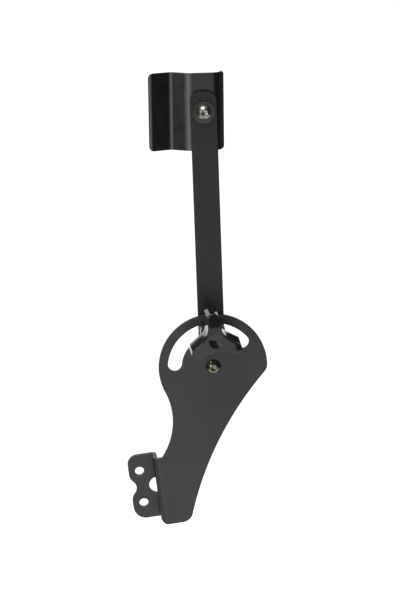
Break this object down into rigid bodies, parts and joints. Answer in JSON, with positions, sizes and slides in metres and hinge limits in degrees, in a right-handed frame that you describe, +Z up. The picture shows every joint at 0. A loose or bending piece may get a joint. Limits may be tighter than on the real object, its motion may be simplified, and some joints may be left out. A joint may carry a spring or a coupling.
{
  "type": "bicycle wall rack",
  "caption": "Black steel wall bracket with a slotted round head, a swinging flat arm clamped by a three-lobe knob, and a tilting trough-shaped cradle.",
  "frame": {"origin": "midway between the two wall holes, on the flange's rear face, which lies on the wall", "axes": "+Z up along the line of the wall holes, +Y into the wall, so the rack stands out towards -Y and its plate, arm and cradle lie in planes parallel to XZ"},
  "size_m": [0.1772, 0.0771, 0.5312],
  "materials": {
    "black_powder_coat": "satin black powder coat",
    "black_nickel_steel": "bright black nickel",
    "zinc_steel": "zinc plated",
    "black_nylon": "matt moulded nylon",
    "white_nylon": "matt moulded nylon",
    "brass": "turned",
    "knob_plastic": "polished moulded"
  },
  "bodies": {
    "bracket": {"bracket_plate": "black_powder_coat", "pivot_bolt": "black_nickel_steel", "pivot_friction_washer": "black_nylon", "pivot_nylon_washer": "black_nylon", "pivot_flat_washer": "zinc_steel", "pivot_lock_nut": "zinc_steel", "pivot_nut_collar": "white_nylon"},
    "arm": {"arm_bar": "black_powder_coat", "clamp_bolt": "zinc_steel", "slot_bush": "black_nylon", "clamp_friction_washer": "black_nylon", "cradle_bolt": "black_nickel_steel", "cradle_bolt_washer": "black_nickel_steel", "cradle_friction_washer": "black_nylon", "cradle_flat_washer": "zinc_steel", "cradle_lock_nut": "zinc_steel", "cradle_nut_collar": "white_nylon"},
    "clamp": {"clamp_washer": "black_nickel_steel"},
    "knob": {"knob_body": "knob_plastic", "knob_insert": "brass", "knob_cap": "knob_plastic"},
    "cradle": {"cradle": "black_powder_coat"}
  },
  "joints": [
    {"name": "arm_swing", "type": "hinge", "parent": "bracket", "child": "arm", "pos_m": [0.101, -0.0225, 0.142], "axis": [0, 1, 0], "range_deg": [-82.6, 50.3]},
    {"name": "cradle_tilt", "type": "hinge", "parent": "arm", "child": "cradle", "pos_m": [0.12775, -0.0155, 0.4388], "axis": [0, 1, 0], "range_deg": [-90, 90]},
    {"name": "clamp_slide", "type": "slide", "parent": "arm", "child": "clamp", "axis": [0, -1, 0], "range_m": [0, 0.00225]},
    {"name": "knob_turn", "type": "hinge", "parent": "clamp", "child": "knob", "pos_m": [0.10499, -0.0311, 0.18632], "axis": [0, -1, 0], "range_deg": [0, 540]}
  ],
  "couplings": [
    {"joint": "clamp_slide", "follows": "knob_turn", "m_per_rad": 0.00023873}
  ]
}
